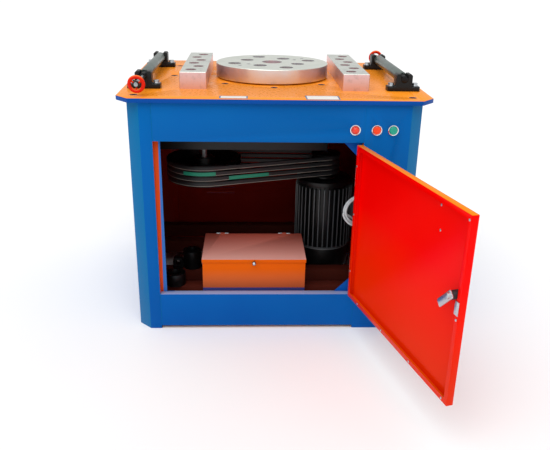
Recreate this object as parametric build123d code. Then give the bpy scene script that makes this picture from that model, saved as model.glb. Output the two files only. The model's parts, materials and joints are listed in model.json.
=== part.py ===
from build123d import *
import math
import os

# Rebar bender: a sheet-steel cabinet under a thick table, with a slow working disc in the table.
# Origin: on the floor under the middle of the table.  X to the operator's right, Y away, Z up.

# ---- driving dimensions (mm) ----
TABLE_W, TABLE_D, TABLE_TOP, TABLE_T = 877.0, 748.0, 709.0, 12.0
TABLE_CHAMFER_X, TABLE_CHAMFER_Y = 37.0, 43.0
CAB_W, CAB_FRONT, CAB_REAR, CAB_CHAMFER = 823.0, -362.0, 362.0, 36.5
SHEET = 3.0
FLANGE = 25.0
REAR_RETURN = 22.0
STOP_W = 18.0
OPENING_LEFT, OPENING_RIGHT, SILL_TOP, HEADER_BOTTOM = -341.0, 247.0, 117.0, 589.0
SKIRT_BOTTOM = 9.5
BEAM_TOP, BEAM_H, BEAM_W = 100.0, 45.0, 40.0
BEAM_FRONTS = (-272.0, -147.0, 104.0, 262.0)

DISC_R, DISC_T, DISC_GAP, DISC_Y = 178.0, 42.0, 4.0, 25.0
DISC_GRID, DISC_TURN, DISC_HOLE_R, DISC_BORE_R = 89.0, 18.5, 21.0, 32.0
MAIN_R, MAIN_FLANGE_R, MAIN_FLANGE_T = 35.0, 56.0, 20.0

BLOCK_IN, BLOCK_OUT, BLOCK_H = 197.5, 274.0, 48.0
BLOCK_ENDS = {"left": (-223.0, 221.0), "right": (-229.0, 216.0)}
BLOCK_HOLE_R, BLOCK_PITCH, BLOCK_STAGGER, BLOCK_HOLES, GROOVE_Y = 16.0, 68.0, 9.0, 6, 6.0

ROLLER_X, ROLLER_Z, ROLLER_R, ROLLER_SHAFT_R = 377.0, 743.0, 16.0, 10.0
BRACKET_D, BRACKET_BASE_W, BRACKET_BASE_T, BRACKET_W, BRACKET_TOP = 40.0, 95.0, 13.0, 47.0, 758.0
BRACKET_FRONTS = (-226.0, 200.0)
WHEEL_R, WHEEL_RIM_R, WHEEL_SPINDLE_R = 24.0, 5.0, 6.0
LEFT_WHEEL_Y, RIGHT_WHEEL_Y = -352.0, 262.0

MOTOR_X, MOTOR_Y, MOTOR_R, MOTOR_CORE_R, FIN_COUNT = 184.0, 0.0, 97.0, 82.0, 36
FAN_COVER_BOTTOM, FIN_BOTTOM, FIN_TOP, SHIELD_TOP = 76.0, 152.0, 366.0, 382.0
BELT_BOTTOM, BELT_PITCH, BELT_COUNT, BELT_W, BELT_T = 397.0, 17.0, 4, 12.5, 9.0
BIG_PULLEY_R, SMALL_PULLEY_R = 120.0, 48.0
INPUT_XY = (-219.0, -60.0)

BOX_BOTTOM, BOX_FLOOR_T, BOX_COVER_T, BOX_WALL = 510.0, 12.0, 12.0, 8.0
BOX_X, BOX_Y = (-372.0, 172.0), (-148.0, 312.0)

DOOR_LEFT, DOOR_RIGHT, DOOR_BOTTOM, DOOR_TOP, DOOR_DEPTH = -337.0, 243.0, 120.0, 586.0, 17.0
DOOR_SHEET, DOOR_LIP, DOOR_OPEN_DEG = 1.5, 14.0, 105.0
HINGE_X, HINGE_Y, HINGE_PIN_R, KNUCKLE_R = 246.0, -366.0, 1.8, 3.6
HINGE_BOTTOMS, HINGE_H, KNUCKLE_H, LEAF_T = (185.0, 465.0), 60.0, 20.0, 1.5
LOCK_X, LOCK_Z, TONGUE_L, TONGUE_REST_DEG = -311.0, 394.0, 56.0, 225.0

TOOLBOX_X, TOOLBOX_Y, TOOLBOX_TOP = (-216.0, 101.0), (-306.0, -92.0), 206.0
CONTROL_Z, LAMP_X, RED_X, GREEN_X = 626.0, 220.0, 280.0, 326.0
BEZEL_R, CONTROL_HOLE_R, BUTTON_R = 14.8, 11.4, 11.0
COIL_CENTRE, COIL_R, COIL_TUBE_R, CABLE_R = (256.0, -296.0, 362.0), 45.0, 9.0, 3.5

TABLE_UNDER = TABLE_TOP - TABLE_T
DISC_UNDER = TABLE_TOP + DISC_GAP
DISC_TOP = DISC_UNDER + DISC_T
BELT_TOP = BELT_BOTTOM + BELT_PITCH * BELT_COUNT
COVER_BOTTOM = TABLE_UNDER - BOX_COVER_T

os.makedirs("parts", exist_ok=True)


# ---- small shape helpers ----
def block(x, y, z):
    """A box from three (low, high) pairs."""
    size = Box(x[1] - x[0], y[1] - y[0], z[1] - z[0])
    return Pos((x[0] + x[1]) / 2, (y[0] + y[1]) / 2, (z[0] + z[1]) / 2) * size


def post(x, y, z, r):
    """An upright cylinder between two heights."""
    return Pos(x, y, (z[0] + z[1]) / 2) * Cylinder(r, z[1] - z[0])


def rod(x, z, y, r):
    """A cylinder along Y between two depths."""
    return Pos(x, (y[0] + y[1]) / 2, z) * Rot(X=90) * Cylinder(r, y[1] - y[0])


def prism(points, z):
    """An upright prism on a polygon."""
    return Pos(0, 0, z[0]) * extrude(make_face(Polyline(*points, close=True)), z[1] - z[0], dir=(0, 0, 1))


def folded_sheet(points, t, z):
    """Upright sheet whose outer face follows the points; the thickness t goes to their left."""
    inner = []
    for i, (x, y) in enumerate(points):
        normals = []
        for a, b in ((i - 1, i), (i, i + 1)):
            if a >= 0 and b < len(points):
                dx, dy = points[b][0] - points[a][0], points[b][1] - points[a][1]
                run = math.hypot(dx, dy)
                normals.append((-dy / run, dx / run))
        nx, ny = sum(n[0] for n in normals) / len(normals), sum(n[1] for n in normals) / len(normals)
        scale = t / (nx * nx + ny * ny)
        inner.append((x + nx * scale, y + ny * scale))
    return prism(list(points) + inner[::-1], z)


def save(shape, name):
    """Write one named piece."""
    shape.label = name
    export_step(shape, "parts/" + name + ".step")


def group(shapes):
    """Separate solids kept in one node."""
    return Compound(children=[solid for shape in shapes for solid in shape.solids()])


# ---- cabinet panels ----
half = CAB_W / 2
flat = half - CAB_CHAMFER
left_outline = [(OPENING_LEFT, CAB_FRONT), (-flat, CAB_FRONT), (-half, CAB_FRONT + CAB_CHAMFER),
                (-half, CAB_REAR - CAB_CHAMFER), (-flat, CAB_REAR), (-flat + REAR_RETURN, CAB_REAR)]
left_panel = folded_sheet(left_outline, -SHEET, (0, TABLE_UNDER))
left_panel += block((OPENING_LEFT - SHEET, OPENING_LEFT), (CAB_FRONT, CAB_FRONT + FLANGE),
                    (SILL_TOP, HEADER_BOTTOM))
left_panel += block((OPENING_LEFT - SHEET, OPENING_LEFT + STOP_W),
                    (CAB_FRONT + FLANGE - SHEET, CAB_FRONT + FLANGE), (SILL_TOP, HEADER_BOTTOM))
save(left_panel, "left_side_panel")

right_outline = [(OPENING_RIGHT, CAB_FRONT), (flat, CAB_FRONT), (half, CAB_FRONT + CAB_CHAMFER),
                 (half, CAB_REAR - CAB_CHAMFER), (flat, CAB_REAR), (flat - REAR_RETURN, CAB_REAR)]
right_panel = folded_sheet(right_outline, SHEET, (0, TABLE_UNDER))
right_panel += block((OPENING_RIGHT, OPENING_RIGHT + SHEET), (CAB_FRONT, CAB_FRONT + FLANGE),
                     (SILL_TOP, HEADER_BOTTOM))
for button_x in (RED_X, GREEN_X):
    right_panel -= rod(button_x, CONTROL_Z, (CAB_FRONT - 1, CAB_FRONT + SHEET + 1), CONTROL_HOLE_R)
save(right_panel, "right_side_panel")

header = block((OPENING_LEFT, OPENING_RIGHT), (CAB_FRONT, CAB_FRONT + SHEET), (HEADER_BOTTOM, TABLE_UNDER))
header += block((OPENING_LEFT, OPENING_RIGHT), (CAB_FRONT, CAB_FRONT + FLANGE),
                (HEADER_BOTTOM, HEADER_BOTTOM + SHEET))
header -= rod(LAMP_X, CONTROL_Z, (CAB_FRONT - 1, CAB_FRONT + SHEET + 1), CONTROL_HOLE_R)
save(header, "header_panel")

sill = block((OPENING_LEFT, OPENING_RIGHT), (CAB_FRONT, CAB_FRONT + SHEET), (SKIRT_BOTTOM, SILL_TOP))
sill += block((OPENING_LEFT, OPENING_RIGHT), (CAB_FRONT, CAB_FRONT + FLANGE), (SILL_TOP - SHEET, SILL_TOP))
save(sill, "sill_panel")

# Vent louvres: each slot has a sheet hood outside, open at its lower edge.
LOUVRE_W, LOUVRE_H, LOUVRE_PITCH, LOUVRE_ROWS, LOUVRE_LOW = 110.0, 7.0, 22.0, 8, 200.0
HOOD_DROP, HOOD_REACH, HOOD_T = 9.0, 7.0, 1.5
rear = block((-flat + REAR_RETURN, flat - REAR_RETURN), (CAB_REAR - SHEET, CAB_REAR),
             (SKIRT_BOTTOM, TABLE_UNDER))
for side in (-1, 1):
    for row in range(LOUVRE_ROWS):
        middle = side * MOTOR_X
        low = LOUVRE_LOW + row * LOUVRE_PITCH
        ends = (middle - LOUVRE_W / 2, middle + LOUVRE_W / 2)
        rear -= block(ends, (CAB_REAR - 2 * SHEET, CAB_REAR + SHEET), (low, low + LOUVRE_H))
        hood_x, slot_top, tip = ends[0] - HOOD_T, low + LOUVRE_H, CAB_REAR + HOOD_REACH
        section = Polyline((hood_x, CAB_REAR - 1, slot_top), (hood_x, tip, low - HOOD_DROP),
                           (hood_x, tip + HOOD_T, low - HOOD_DROP),
                           (hood_x, CAB_REAR + HOOD_T, slot_top + HOOD_T),
                           (hood_x, CAB_REAR - 1, slot_top + HOOD_T), close=True)
        rear += extrude(make_face(section), LOUVRE_W + 2 * HOOD_T, dir=(1, 0, 0))
save(rear, "rear_panel")

# Corner plates that stiffen the post which carries the door.
GUSSET_LEG, GUSSET_T = 57.0, 4.0
gussets = []
for corner_z, way in ((HEADER_BOTTOM, -1), (SILL_TOP, 1)):
    triangle = Polyline((OPENING_RIGHT, 0, corner_z), (OPENING_RIGHT - GUSSET_LEG, 0, corner_z),
                        (OPENING_RIGHT, 0, corner_z + way * GUSSET_LEG), close=True)
    plate = extrude(make_face(triangle), GUSSET_T, dir=(0, 1, 0))
    gussets.append(Pos(0, CAB_FRONT + FLANGE - GUSSET_T, 0) * plate)
save(group(gussets), "corner_gussets")

beams = []
for front in BEAM_FRONTS:
    inside = half - SHEET
    beam = block((-inside, inside), (front, front + BEAM_W), (BEAM_TOP - BEAM_H, BEAM_TOP))
    beam -= block((-inside, inside), (front + 4, front + BEAM_W - 4), (BEAM_TOP - BEAM_H, BEAM_TOP - 4))
    beams.append(beam)
save(group(beams), "floor_beams")

# ---- table plate and its flush screws ----
tx, ty = TABLE_W / 2, TABLE_D / 2
outline = []
for sx, sy in ((-1, -1), (1, -1), (1, 1), (-1, 1)):
    near_x = (sx * tx, sy * (ty - TABLE_CHAMFER_Y))
    near_y = (sx * (tx - TABLE_CHAMFER_X), sy * ty)
    outline += [near_x, near_y] if sx == sy else [near_y, near_x]
table = prism(outline, (TABLE_UNDER, TABLE_TOP))
TABLE_BORE_R, RING_R, SCREW_HEAD_R, SCREW_R, HEAD_T = 62.0, 207.0, 10.0, 6.0, 7.5
table -= post(0, DISC_Y, (TABLE_UNDER - 1, TABLE_TOP + 1), TABLE_BORE_R)
screw_places = [(RING_R * math.cos(math.radians(a)), DISC_Y + RING_R * math.sin(math.radians(a)))
                for a in (45, 90, 135, 225, 270, 315)]
screw_places += [(-313.0, 22.0), (-313.0, 236.0), (382.0, -322.0), (-392.0, -318.0), (382.0, 322.0),
                 (-382.0, 322.0)]
screws = []
for x, y in screw_places:
    table -= post(x, y, (TABLE_UNDER - 1, TABLE_TOP + 1), SCREW_R + 0.3)
    table -= post(x, y, (TABLE_TOP - HEAD_T - 0.5, TABLE_TOP + 1), SCREW_HEAD_R + 0.5)
    screw = post(x, y, (TABLE_TOP - HEAD_T - 0.5, TABLE_TOP - 0.5), SCREW_HEAD_R)
    screw += post(x, y, (TABLE_UNDER, TABLE_TOP - HEAD_T), SCREW_R)
    socket = extrude(RegularPolygon(5.8, 6), 5)
    screw -= Pos(x, y, TABLE_TOP - 5.5) * socket
    screws.append(screw)
save(table, "table_plate")
save(group(screws), "table_screws")

# ---- hole blocks ----
for side, (low_y, high_y) in BLOCK_ENDS.items():
    sign = -1 if side == "left" else 1
    xs = sorted((sign * BLOCK_IN, sign * BLOCK_OUT))
    bar = block(xs, (low_y, high_y), (TABLE_TOP, TABLE_TOP + BLOCK_H))
    bar = chamfer(bar.edges().filter_by(Axis.Z) + bar.faces().sort_by(Axis.Z)[-1].edges(), 1.2)
    for i in range(BLOCK_HOLES):
        hole_x = (xs[0] + xs[1]) / 2 + BLOCK_STAGGER * (1 if i % 2 else -1)
        hole_y = (low_y + high_y) / 2 + BLOCK_PITCH * (i - (BLOCK_HOLES - 1) / 2)
        bar -= post(hole_x, hole_y, (TABLE_TOP + 4, TABLE_TOP + BLOCK_H + 1), BLOCK_HOLE_R)
    if side == "left":  # a shallow groove marks the middle of this block
        bar -= block((xs[0] - 1, xs[1] + 1), (GROOVE_Y - 1.5, GROOVE_Y + 1.5),
                     (TABLE_TOP + BLOCK_H - 2.5, TABLE_TOP + BLOCK_H + 1))
    save(bar, side + "_hole_block")

# ---- side rollers: cast brackets, shafts, tubes, handwheels ----
SLOT_CLEAR, EAR_W, EAR_NOTCH = 0.3, 12.0, 5.0
BOLT_HEAD_R, BOLT_HEAD_H, WASHER_R, WASHER_T = 7.5, 7.0, 10.5, 2.0
bolts = []


def roller_bracket(x, front):
    """Cast saddle with a flange foot and an open-topped cradle for the shaft."""
    back = front + BRACKET_D
    foot = block((x - BRACKET_BASE_W / 2, x + BRACKET_BASE_W / 2), (front, back),
                 (TABLE_TOP, TABLE_TOP + BRACKET_BASE_T))
    foot = chamfer(foot.edges().filter_by(Axis.Z), 4)
    body = block((x - BRACKET_W / 2, x + BRACKET_W / 2), (front, back), (TABLE_TOP, BRACKET_TOP))
    body = chamfer(body.edges().filter_by(Axis.Y).group_by(Axis.Z)[-1], 4)
    saddle = foot + body
    cradle_r = ROLLER_SHAFT_R + SLOT_CLEAR
    saddle -= rod(x, ROLLER_Z, (front - 1, back + 1), cradle_r)
    saddle -= block((x - cradle_r, x + cradle_r), (front - 1, back + 1), (ROLLER_Z, BRACKET_TOP + 1))
    for sign in (-1, 1):
        edge = x + sign * BRACKET_BASE_W / 2 - sign * 12.0
        middle = front + BRACKET_D / 2
        saddle -= post(edge, middle, (TABLE_TOP - 1, TABLE_TOP + BRACKET_BASE_T + 1), SCREW_R + 0.3)
        top = TABLE_TOP + BRACKET_BASE_T
        head = Pos(edge, middle, top + WASHER_T) * extrude(RegularPolygon(BOLT_HEAD_R + 1.2, 6), BOLT_HEAD_H)
        washer = post(edge, middle, (top, top + WASHER_T), WASHER_R)
        shank = post(edge, middle, (TABLE_TOP, top), SCREW_R)
        bolts.append(head + washer + shank)
    return saddle


def handwheel(x, y, spindle):
    """Ring wheel with a hub, three spokes and a spindle along Y."""
    ring = Pos(x, y, ROLLER_Z) * Rot(X=90) * Torus(WHEEL_R - WHEEL_RIM_R, WHEEL_RIM_R)
    wheel = ring + rod(x, ROLLER_Z, (y - 7, y + 7), 9.0)
    for spoke in range(3):
        arm = Rot(Y=120.0 * spoke) * block((6, WHEEL_R - WHEEL_RIM_R), (-2.5, 2.5), (-3, 3))
        wheel += Pos(x, y, ROLLER_Z) * arm
    wheel += rod(x, ROLLER_Z, spindle, WHEEL_SPINDLE_R)
    return wheel


shafts = []
for side, sign in (("left", -1), ("right", 1)):
    x = sign * ROLLER_X
    for place, front in zip(("front", "rear"), BRACKET_FRONTS):
        save(roller_bracket(x, front), side + "_" + place + "_bracket")
    shaft_ends = (BRACKET_FRONTS[0], BRACKET_FRONTS[1] + BRACKET_D)
    shaft = rod(x, ROLLER_Z, shaft_ends, ROLLER_SHAFT_R)
    wheel_end = shaft_ends[0] if sign < 0 else shaft_ends[1]
    socket_y = (wheel_end - 1, wheel_end + 26) if sign < 0 else (wheel_end - 26, wheel_end + 1)
    shaft -= rod(x, ROLLER_Z, socket_y, WHEEL_SPINDLE_R + 0.06)
    shafts.append(shaft)
    tube_ends = (BRACKET_FRONTS[0] + BRACKET_D + 2, BRACKET_FRONTS[1] - 2)
    tube = rod(x, ROLLER_Z, tube_ends, ROLLER_R) - rod(x, ROLLER_Z, tube_ends, ROLLER_SHAFT_R + 0.06)
    save(tube, side + "_roller")
    if sign < 0:
        spindle = (LEFT_WHEEL_Y - 9, shaft_ends[0] + 25)
        save(handwheel(x, LEFT_WHEEL_Y, spindle), "left_handwheel")
    else:
        spindle = (shaft_ends[1] - 25, RIGHT_WHEEL_Y + 9)
        save(handwheel(x, RIGHT_WHEEL_Y, spindle), "right_handwheel")
save(group(shafts), "roller_shafts")
save(group(bolts), "bracket_bolts")

# ---- working disc on the main shaft ----
disc = post(0, DISC_Y, (DISC_UNDER, DISC_TOP), DISC_R)
disc = chamfer(disc.edges().filter_by(GeomType.CIRCLE), 1.5)
disc -= post(0, DISC_Y, (DISC_UNDER - 1, DISC_TOP + 1), DISC_BORE_R)
SMALL_HOLES = ((93.0, 36.0), (93.0, 216.0), (133.0, 40.0), (133.0, 220.0))
SMALL_HOLE_R = 6.0
for i in (-1, 0, 1):
    for j in (-1, 0, 1):
        if i or j:
            angle = math.atan2(j, i) + math.radians(DISC_TURN - 45)
            reach = DISC_GRID * math.hypot(i, j)
            disc -= post(reach * math.cos(angle), DISC_Y + reach * math.sin(angle),
                         (DISC_UNDER - 1, DISC_TOP + 1), DISC_HOLE_R)
for reach, degrees in SMALL_HOLES:
    angle = math.radians(degrees)
    disc -= post(reach * math.cos(angle), DISC_Y + reach * math.sin(angle),
                 (DISC_TOP - 25, DISC_TOP + 1), SMALL_HOLE_R)
save(disc, "working_disc")

# ---- gear train: three spur stages, all shafts upright ----
PRESSURE = math.radians(20)
BACKLASH = 0.35


def involute_angle(radius, base):
    """Polar angle of the involute at a radius."""
    roll = math.sqrt(max((radius / base) ** 2 - 1, 0.0))
    return roll - math.atan(roll)


def spur_gear(teeth, module, centre, z, tooth_at, bore):
    """Spur gear with one tooth centred on the angle tooth_at (radians)."""
    pitch = teeth * module / 2
    base = pitch * math.cos(PRESSURE)
    tip, root = pitch + 0.9 * module, pitch - 1.25 * module
    half_tooth = math.pi / (2 * teeth) - BACKLASH / (2 * pitch) + involute_angle(pitch, base)
    start = max(base, root + 0.05)
    radii = [start + (tip - start) * k / 3 for k in range(4)]
    edges = []
    for n in range(teeth):
        middle = tooth_at + 2 * math.pi * n / teeth

        def spot(radius, offset):
            return (radius * math.cos(middle + offset), radius * math.sin(middle + offset))

        rising = [spot(r, -half_tooth + involute_angle(r, base)) for r in radii]
        falling = [spot(r, half_tooth - involute_angle(r, base)) for r in radii[::-1]]
        tooth_end = math.pi / teeth
        foot_in, foot_out = spot(root, -half_tooth), spot(root, half_tooth)
        edges += [Line(foot_in, rising[0]), Spline(*rising), Line(rising[-1], falling[0]),
                  Spline(*falling), Line(falling[-1], foot_out),
                  ThreePointArc(foot_out, spot(root, tooth_end), spot(root, 2 * tooth_end - half_tooth))]
    wheel = extrude(make_face(Wire(edges)), z[1] - z[0])
    return Pos(centre[0], centre[1], z[0]) * wheel - post(centre[0], centre[1], (z[0] - 1, z[1] + 1), bore)


STAGES = {"first": (18, 72, 3.0), "second": (17, 60, 4.0), "third": (15, 60, 5.0)}
LEVELS = {"first": (534.0, 558.0), "second": (568.0, 600.0), "third": (616.0, 664.0)}


def spacing(stage):
    """Distance between the two shafts of a stage."""
    pinion, wheel, module = STAGES[stage]
    return (pinion + wheel) * module / 2


MAIN_XY = (0.0, DISC_Y)
THIRD_DIRECTION = math.radians(130)
THIRD_XY = (spacing("third") * math.cos(THIRD_DIRECTION),
            DISC_Y + spacing("third") * math.sin(THIRD_DIRECTION))
gap_x, gap_y = THIRD_XY[0] - INPUT_XY[0], THIRD_XY[1] - INPUT_XY[1]
gap = math.hypot(gap_x, gap_y)
along = (spacing("first") ** 2 - spacing("second") ** 2 + gap * gap) / (2 * gap)
aside = math.sqrt(spacing("first") ** 2 - along * along)
SECOND_XY = (INPUT_XY[0] + (along * gap_x - aside * gap_y) / gap,
             INPUT_XY[1] + (along * gap_y + aside * gap_x) / gap)


def mesh_pair(stage, pinion_xy, wheel_xy, pinion_bore, wheel_bore):
    """Pinion and wheel of one stage, set so that their teeth are in mesh."""
    pinion, wheel, module = STAGES[stage]
    line = math.atan2(wheel_xy[1] - pinion_xy[1], wheel_xy[0] - pinion_xy[0])
    small = spur_gear(pinion, module, pinion_xy, LEVELS[stage], line, pinion_bore)
    large = spur_gear(wheel, module, wheel_xy, LEVELS[stage], line + math.pi + math.pi / wheel, wheel_bore)
    return small, large


INPUT_R, SECOND_R, THIRD_R = 15.0, 17.0, 21.0
first_pinion, second_gear = mesh_pair("first", INPUT_XY, SECOND_XY, 1.0, SECOND_R + 0.02)
second_pinion, third_gear = mesh_pair("second", SECOND_XY, THIRD_XY, 1.0, THIRD_R + 0.02)
third_pinion, main_gear = mesh_pair("third", THIRD_XY, MAIN_XY, 1.0, MAIN_R + 0.02)
save(second_gear, "second_gear")
save(third_gear, "third_gear")
save(main_gear, "main_gear")

SHAFT_BOTTOM, SHAFT_TOP = BOX_BOTTOM + 1.0, COVER_BOTTOM + 9.0
save(post(*INPUT_XY, (BELT_BOTTOM - 4, SHAFT_TOP), INPUT_R) + first_pinion, "input_shaft")
save(post(*SECOND_XY, (SHAFT_BOTTOM, SHAFT_TOP), SECOND_R) + second_pinion, "second_shaft")
save(post(*THIRD_XY, (SHAFT_BOTTOM, SHAFT_TOP), THIRD_R) + third_pinion, "third_shaft")
main_shaft = post(*MAIN_XY, (SHAFT_BOTTOM, DISC_UNDER), MAIN_R)
main_shaft += post(*MAIN_XY, (DISC_UNDER - MAIN_FLANGE_T, DISC_UNDER), MAIN_FLANGE_R)
save(main_shaft, "main_shaft")

# ---- gearbox: open-topped cast box, flat cover, ball bearings ----
SHAFTS = ((INPUT_XY, INPUT_R), (SECOND_XY, SECOND_R), (THIRD_XY, THIRD_R), (MAIN_XY, MAIN_R))
BEARING_WALL, BEARING_H = 14.0, 9.0
housing = block(BOX_X, BOX_Y, (BOX_BOTTOM, COVER_BOTTOM))
housing -= block((BOX_X[0] + BOX_WALL, BOX_X[1] - BOX_WALL), (BOX_Y[0] + BOX_WALL, BOX_Y[1] - BOX_WALL),
                 (BOX_BOTTOM + BOX_FLOOR_T, COVER_BOTTOM + 1))
cover = block((BOX_X[0] - 6, BOX_X[1] + 6), (BOX_Y[0] - 6, BOX_Y[1] + 6), (COVER_BOTTOM, TABLE_UNDER))
bearings = []
for (x, y), r in SHAFTS:
    seat = r + BEARING_WALL
    housing -= post(x, y, (BOX_BOTTOM + BOX_FLOOR_T - BEARING_H, BOX_BOTTOM + BOX_FLOOR_T + 1), seat)
    cover -= post(x, y, (COVER_BOTTOM - 1, COVER_BOTTOM + BEARING_H), seat)
    for low in (BOX_BOTTOM + BOX_FLOOR_T - BEARING_H, COVER_BOTTOM):
        ring = post(x, y, (low, low + BEARING_H), seat) - post(x, y, (low, low + BEARING_H), r + 0.06)
        bearings.append(ring)
housing -= post(*INPUT_XY, (BOX_BOTTOM - 1, BOX_BOTTOM + BOX_FLOOR_T), INPUT_R + 1)
for xy, r in SHAFTS[1:]:
    housing -= post(*xy, (BOX_BOTTOM + 0.5, BOX_BOTTOM + BOX_FLOOR_T), r + 0.5)
cover -= post(*MAIN_XY, (COVER_BOTTOM - 1, TABLE_UNDER + 1), MAIN_FLANGE_R + 1)
flange_under = DISC_UNDER - MAIN_FLANGE_T
save(housing, "gearbox_housing")
save(cover, "gearbox_cover")
bearings[-1] = bearings[-1] & post(*MAIN_XY, (COVER_BOTTOM, flange_under - 0.5), MAIN_R + BEARING_WALL)
save(group(bearings), "gearbox_bearings")

# ---- belt drive ----
GROOVE_DEPTH = BELT_T + 1.5


def grooved_pulley(centre, r, hub_r, bore):
    """Pulley with one groove per belt and a thinner web."""
    x, y = centre
    wheel = post(x, y, (BELT_BOTTOM, BELT_TOP), r)
    for i in range(BELT_COUNT):
        middle = BELT_BOTTOM + BELT_PITCH * (i + 0.5)
        low, high = middle - BELT_W / 2 - 0.8, middle + BELT_W / 2 + 0.8
        wheel -= post(x, y, (low, high), r + 1) - post(x, y, (low, high), r - GROOVE_DEPTH)
    if r - GROOVE_DEPTH > hub_r + 30:
        for low in (BELT_BOTTOM - 1, BELT_TOP - 24):
            recess = (low, low + 25)
            wheel -= post(x, y, recess, r - GROOVE_DEPTH - 12) - post(x, y, recess, hub_r)
    return wheel - post(x, y, (BELT_BOTTOM - 1, BELT_TOP + 1), bore)


def belt_outline(grow):
    """Face bounded by a loop round both pulleys, grow outside the pulley rims."""
    (ax, ay), (bx, by) = INPUT_XY, (MOTOR_X, MOTOR_Y)
    ra, rb = BIG_PULLEY_R + grow, SMALL_PULLEY_R + grow
    heading = math.atan2(by - ay, bx - ax)
    lean = math.acos((ra - rb) / math.hypot(bx - ax, by - ay))
    up, down = heading + lean, heading - lean
    upper = [(ax + ra * math.cos(up), ay + ra * math.sin(up)),
             (bx + rb * math.cos(up), by + rb * math.sin(up))]
    lower = [(ax + ra * math.cos(down), ay + ra * math.sin(down)),
             (bx + rb * math.cos(down), by + rb * math.sin(down))]
    far_a = (ax - ra * math.cos(heading), ay - ra * math.sin(heading))
    far_b = (bx + rb * math.cos(heading), by + rb * math.sin(heading))
    return make_face(Wire([Line(*upper), ThreePointArc(upper[1], far_b, lower[1]),
                           Line(lower[1], lower[0]), ThreePointArc(lower[0], far_a, upper[0])]))


belts = []
for i in range(BELT_COUNT):
    middle = BELT_BOTTOM + BELT_PITCH * (i + 0.5)
    loop = extrude(belt_outline(0.5), BELT_W) - extrude(belt_outline(0.5 - BELT_T), BELT_W)
    belts.append(Pos(0, 0, middle - BELT_W / 2) * loop)
save(group(belts), "drive_belts")
save(grooved_pulley(INPUT_XY, BIG_PULLEY_R, 34.0, INPUT_R + 0.02), "large_pulley")
ROTOR_R = 14.0
save(grooved_pulley((MOTOR_X, MOTOR_Y), SMALL_PULLEY_R, 30.0, ROTOR_R + 0.02), "motor_pulley")

# ---- motor: finned frame, end shield, fan and cover, terminal box, upright mount ----
MOTOR_BORE_R, RIB_T = 60.0, 3.0
frame = post(MOTOR_X, MOTOR_Y, (FIN_BOTTOM, FIN_TOP), MOTOR_CORE_R)
fin_reach = MOTOR_R - MOTOR_CORE_R
for i in range(FIN_COUNT):
    rib = block((MOTOR_CORE_R - 2, MOTOR_R), (-RIB_T / 2, RIB_T / 2), (FIN_BOTTOM + 4, FIN_TOP - 4))
    frame += Pos(MOTOR_X, MOTOR_Y, 0) * Rot(Z=360.0 * i / FIN_COUNT + 5) * rib
for sign in (-1, 1):
    pad = block((MOTOR_X + sign * 45 - 16, MOTOR_X + sign * 45 + 16), (MOTOR_Y + 60, MOTOR_Y + MOTOR_R + 2),
                (200, 340))
    frame += pad
frame += block((MOTOR_X + 70, MOTOR_X + MOTOR_R + 1), (MOTOR_Y - 32, MOTOR_Y + 32), (232, 302))
frame -= post(MOTOR_X, MOTOR_Y, (FIN_BOTTOM - 1, FIN_TOP + 1), MOTOR_BORE_R)
save(frame, "motor_frame")
shield = post(MOTOR_X, MOTOR_Y, (FIN_TOP, SHIELD_TOP), MOTOR_CORE_R + 6)
shield += post(MOTOR_X, MOTOR_Y, (SHIELD_TOP, SHIELD_TOP + 6), 36)
shield -= post(MOTOR_X, MOTOR_Y, (FIN_TOP - 1, SHIELD_TOP + 7), ROTOR_R + 0.06)
lower_shield = post(MOTOR_X, MOTOR_Y, (FIN_BOTTOM - 10, FIN_BOTTOM), MOTOR_CORE_R)
lower_shield -= post(MOTOR_X, MOTOR_Y, (FIN_BOTTOM - 11, FIN_BOTTOM + 1), ROTOR_R + 0.06)
save(group([shield, lower_shield]), "motor_end_shields")
cover_r = MOTOR_R - 5
fan_cover = post(MOTOR_X, MOTOR_Y, (FAN_COVER_BOTTOM, FIN_BOTTOM), cover_r)
fan_cover -= post(MOTOR_X, MOTOR_Y, (FAN_COVER_BOTTOM + 2, FIN_BOTTOM + 1), cover_r - 2)
for ring_r, count in ((28, 6), (50, 10), (70, 14)):
    for i in range(count):
        angle = 2 * math.pi * i / count
        fan_cover -= post(MOTOR_X + ring_r * math.cos(angle), MOTOR_Y + ring_r * math.sin(angle),
                          (FAN_COVER_BOTTOM - 1, FAN_COVER_BOTTOM + 3), 6)
save(fan_cover, "motor_fan_cover")
rotor = post(MOTOR_X, MOTOR_Y, (FAN_COVER_BOTTOM + 12, BELT_TOP), ROTOR_R)
rotor += post(MOTOR_X, MOTOR_Y, (FIN_BOTTOM + 30, FIN_TOP - 30), MOTOR_BORE_R - 6)
save(rotor, "motor_rotor")
fan = post(MOTOR_X, MOTOR_Y, (FAN_COVER_BOTTOM + 14, FAN_COVER_BOTTOM + 44), 26)
fan += post(MOTOR_X, MOTOR_Y, (FAN_COVER_BOTTOM + 40, FAN_COVER_BOTTOM + 44), 76)
for i in range(8):
    blade = block((22, 76), (-1.5, 1.5), (FAN_COVER_BOTTOM + 14, FAN_COVER_BOTTOM + 42))
    fan += Pos(MOTOR_X, MOTOR_Y, 0) * Rot(Z=45.0 * i) * blade
fan -= post(MOTOR_X, MOTOR_Y, (FAN_COVER_BOTTOM, FIN_BOTTOM), ROTOR_R + 0.02)
save(fan, "motor_fan")
TERMINAL_X = (MOTOR_X + MOTOR_R + 1, MOTOR_X + MOTOR_R + 41)
terminal = block(TERMINAL_X, (MOTOR_Y - 42, MOTOR_Y + 42), (222, 312))
save(fillet(terminal.edges(), 4), "terminal_box")
MOUNT_Y, MOUNT_T = MOTOR_Y + MOTOR_R + 2, 8.0
mount = block((MOTOR_X - 85, MOTOR_X + 85), (MOUNT_Y, MOUNT_Y + MOUNT_T), (BEAM_TOP + MOUNT_T, FIN_TOP))
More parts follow.
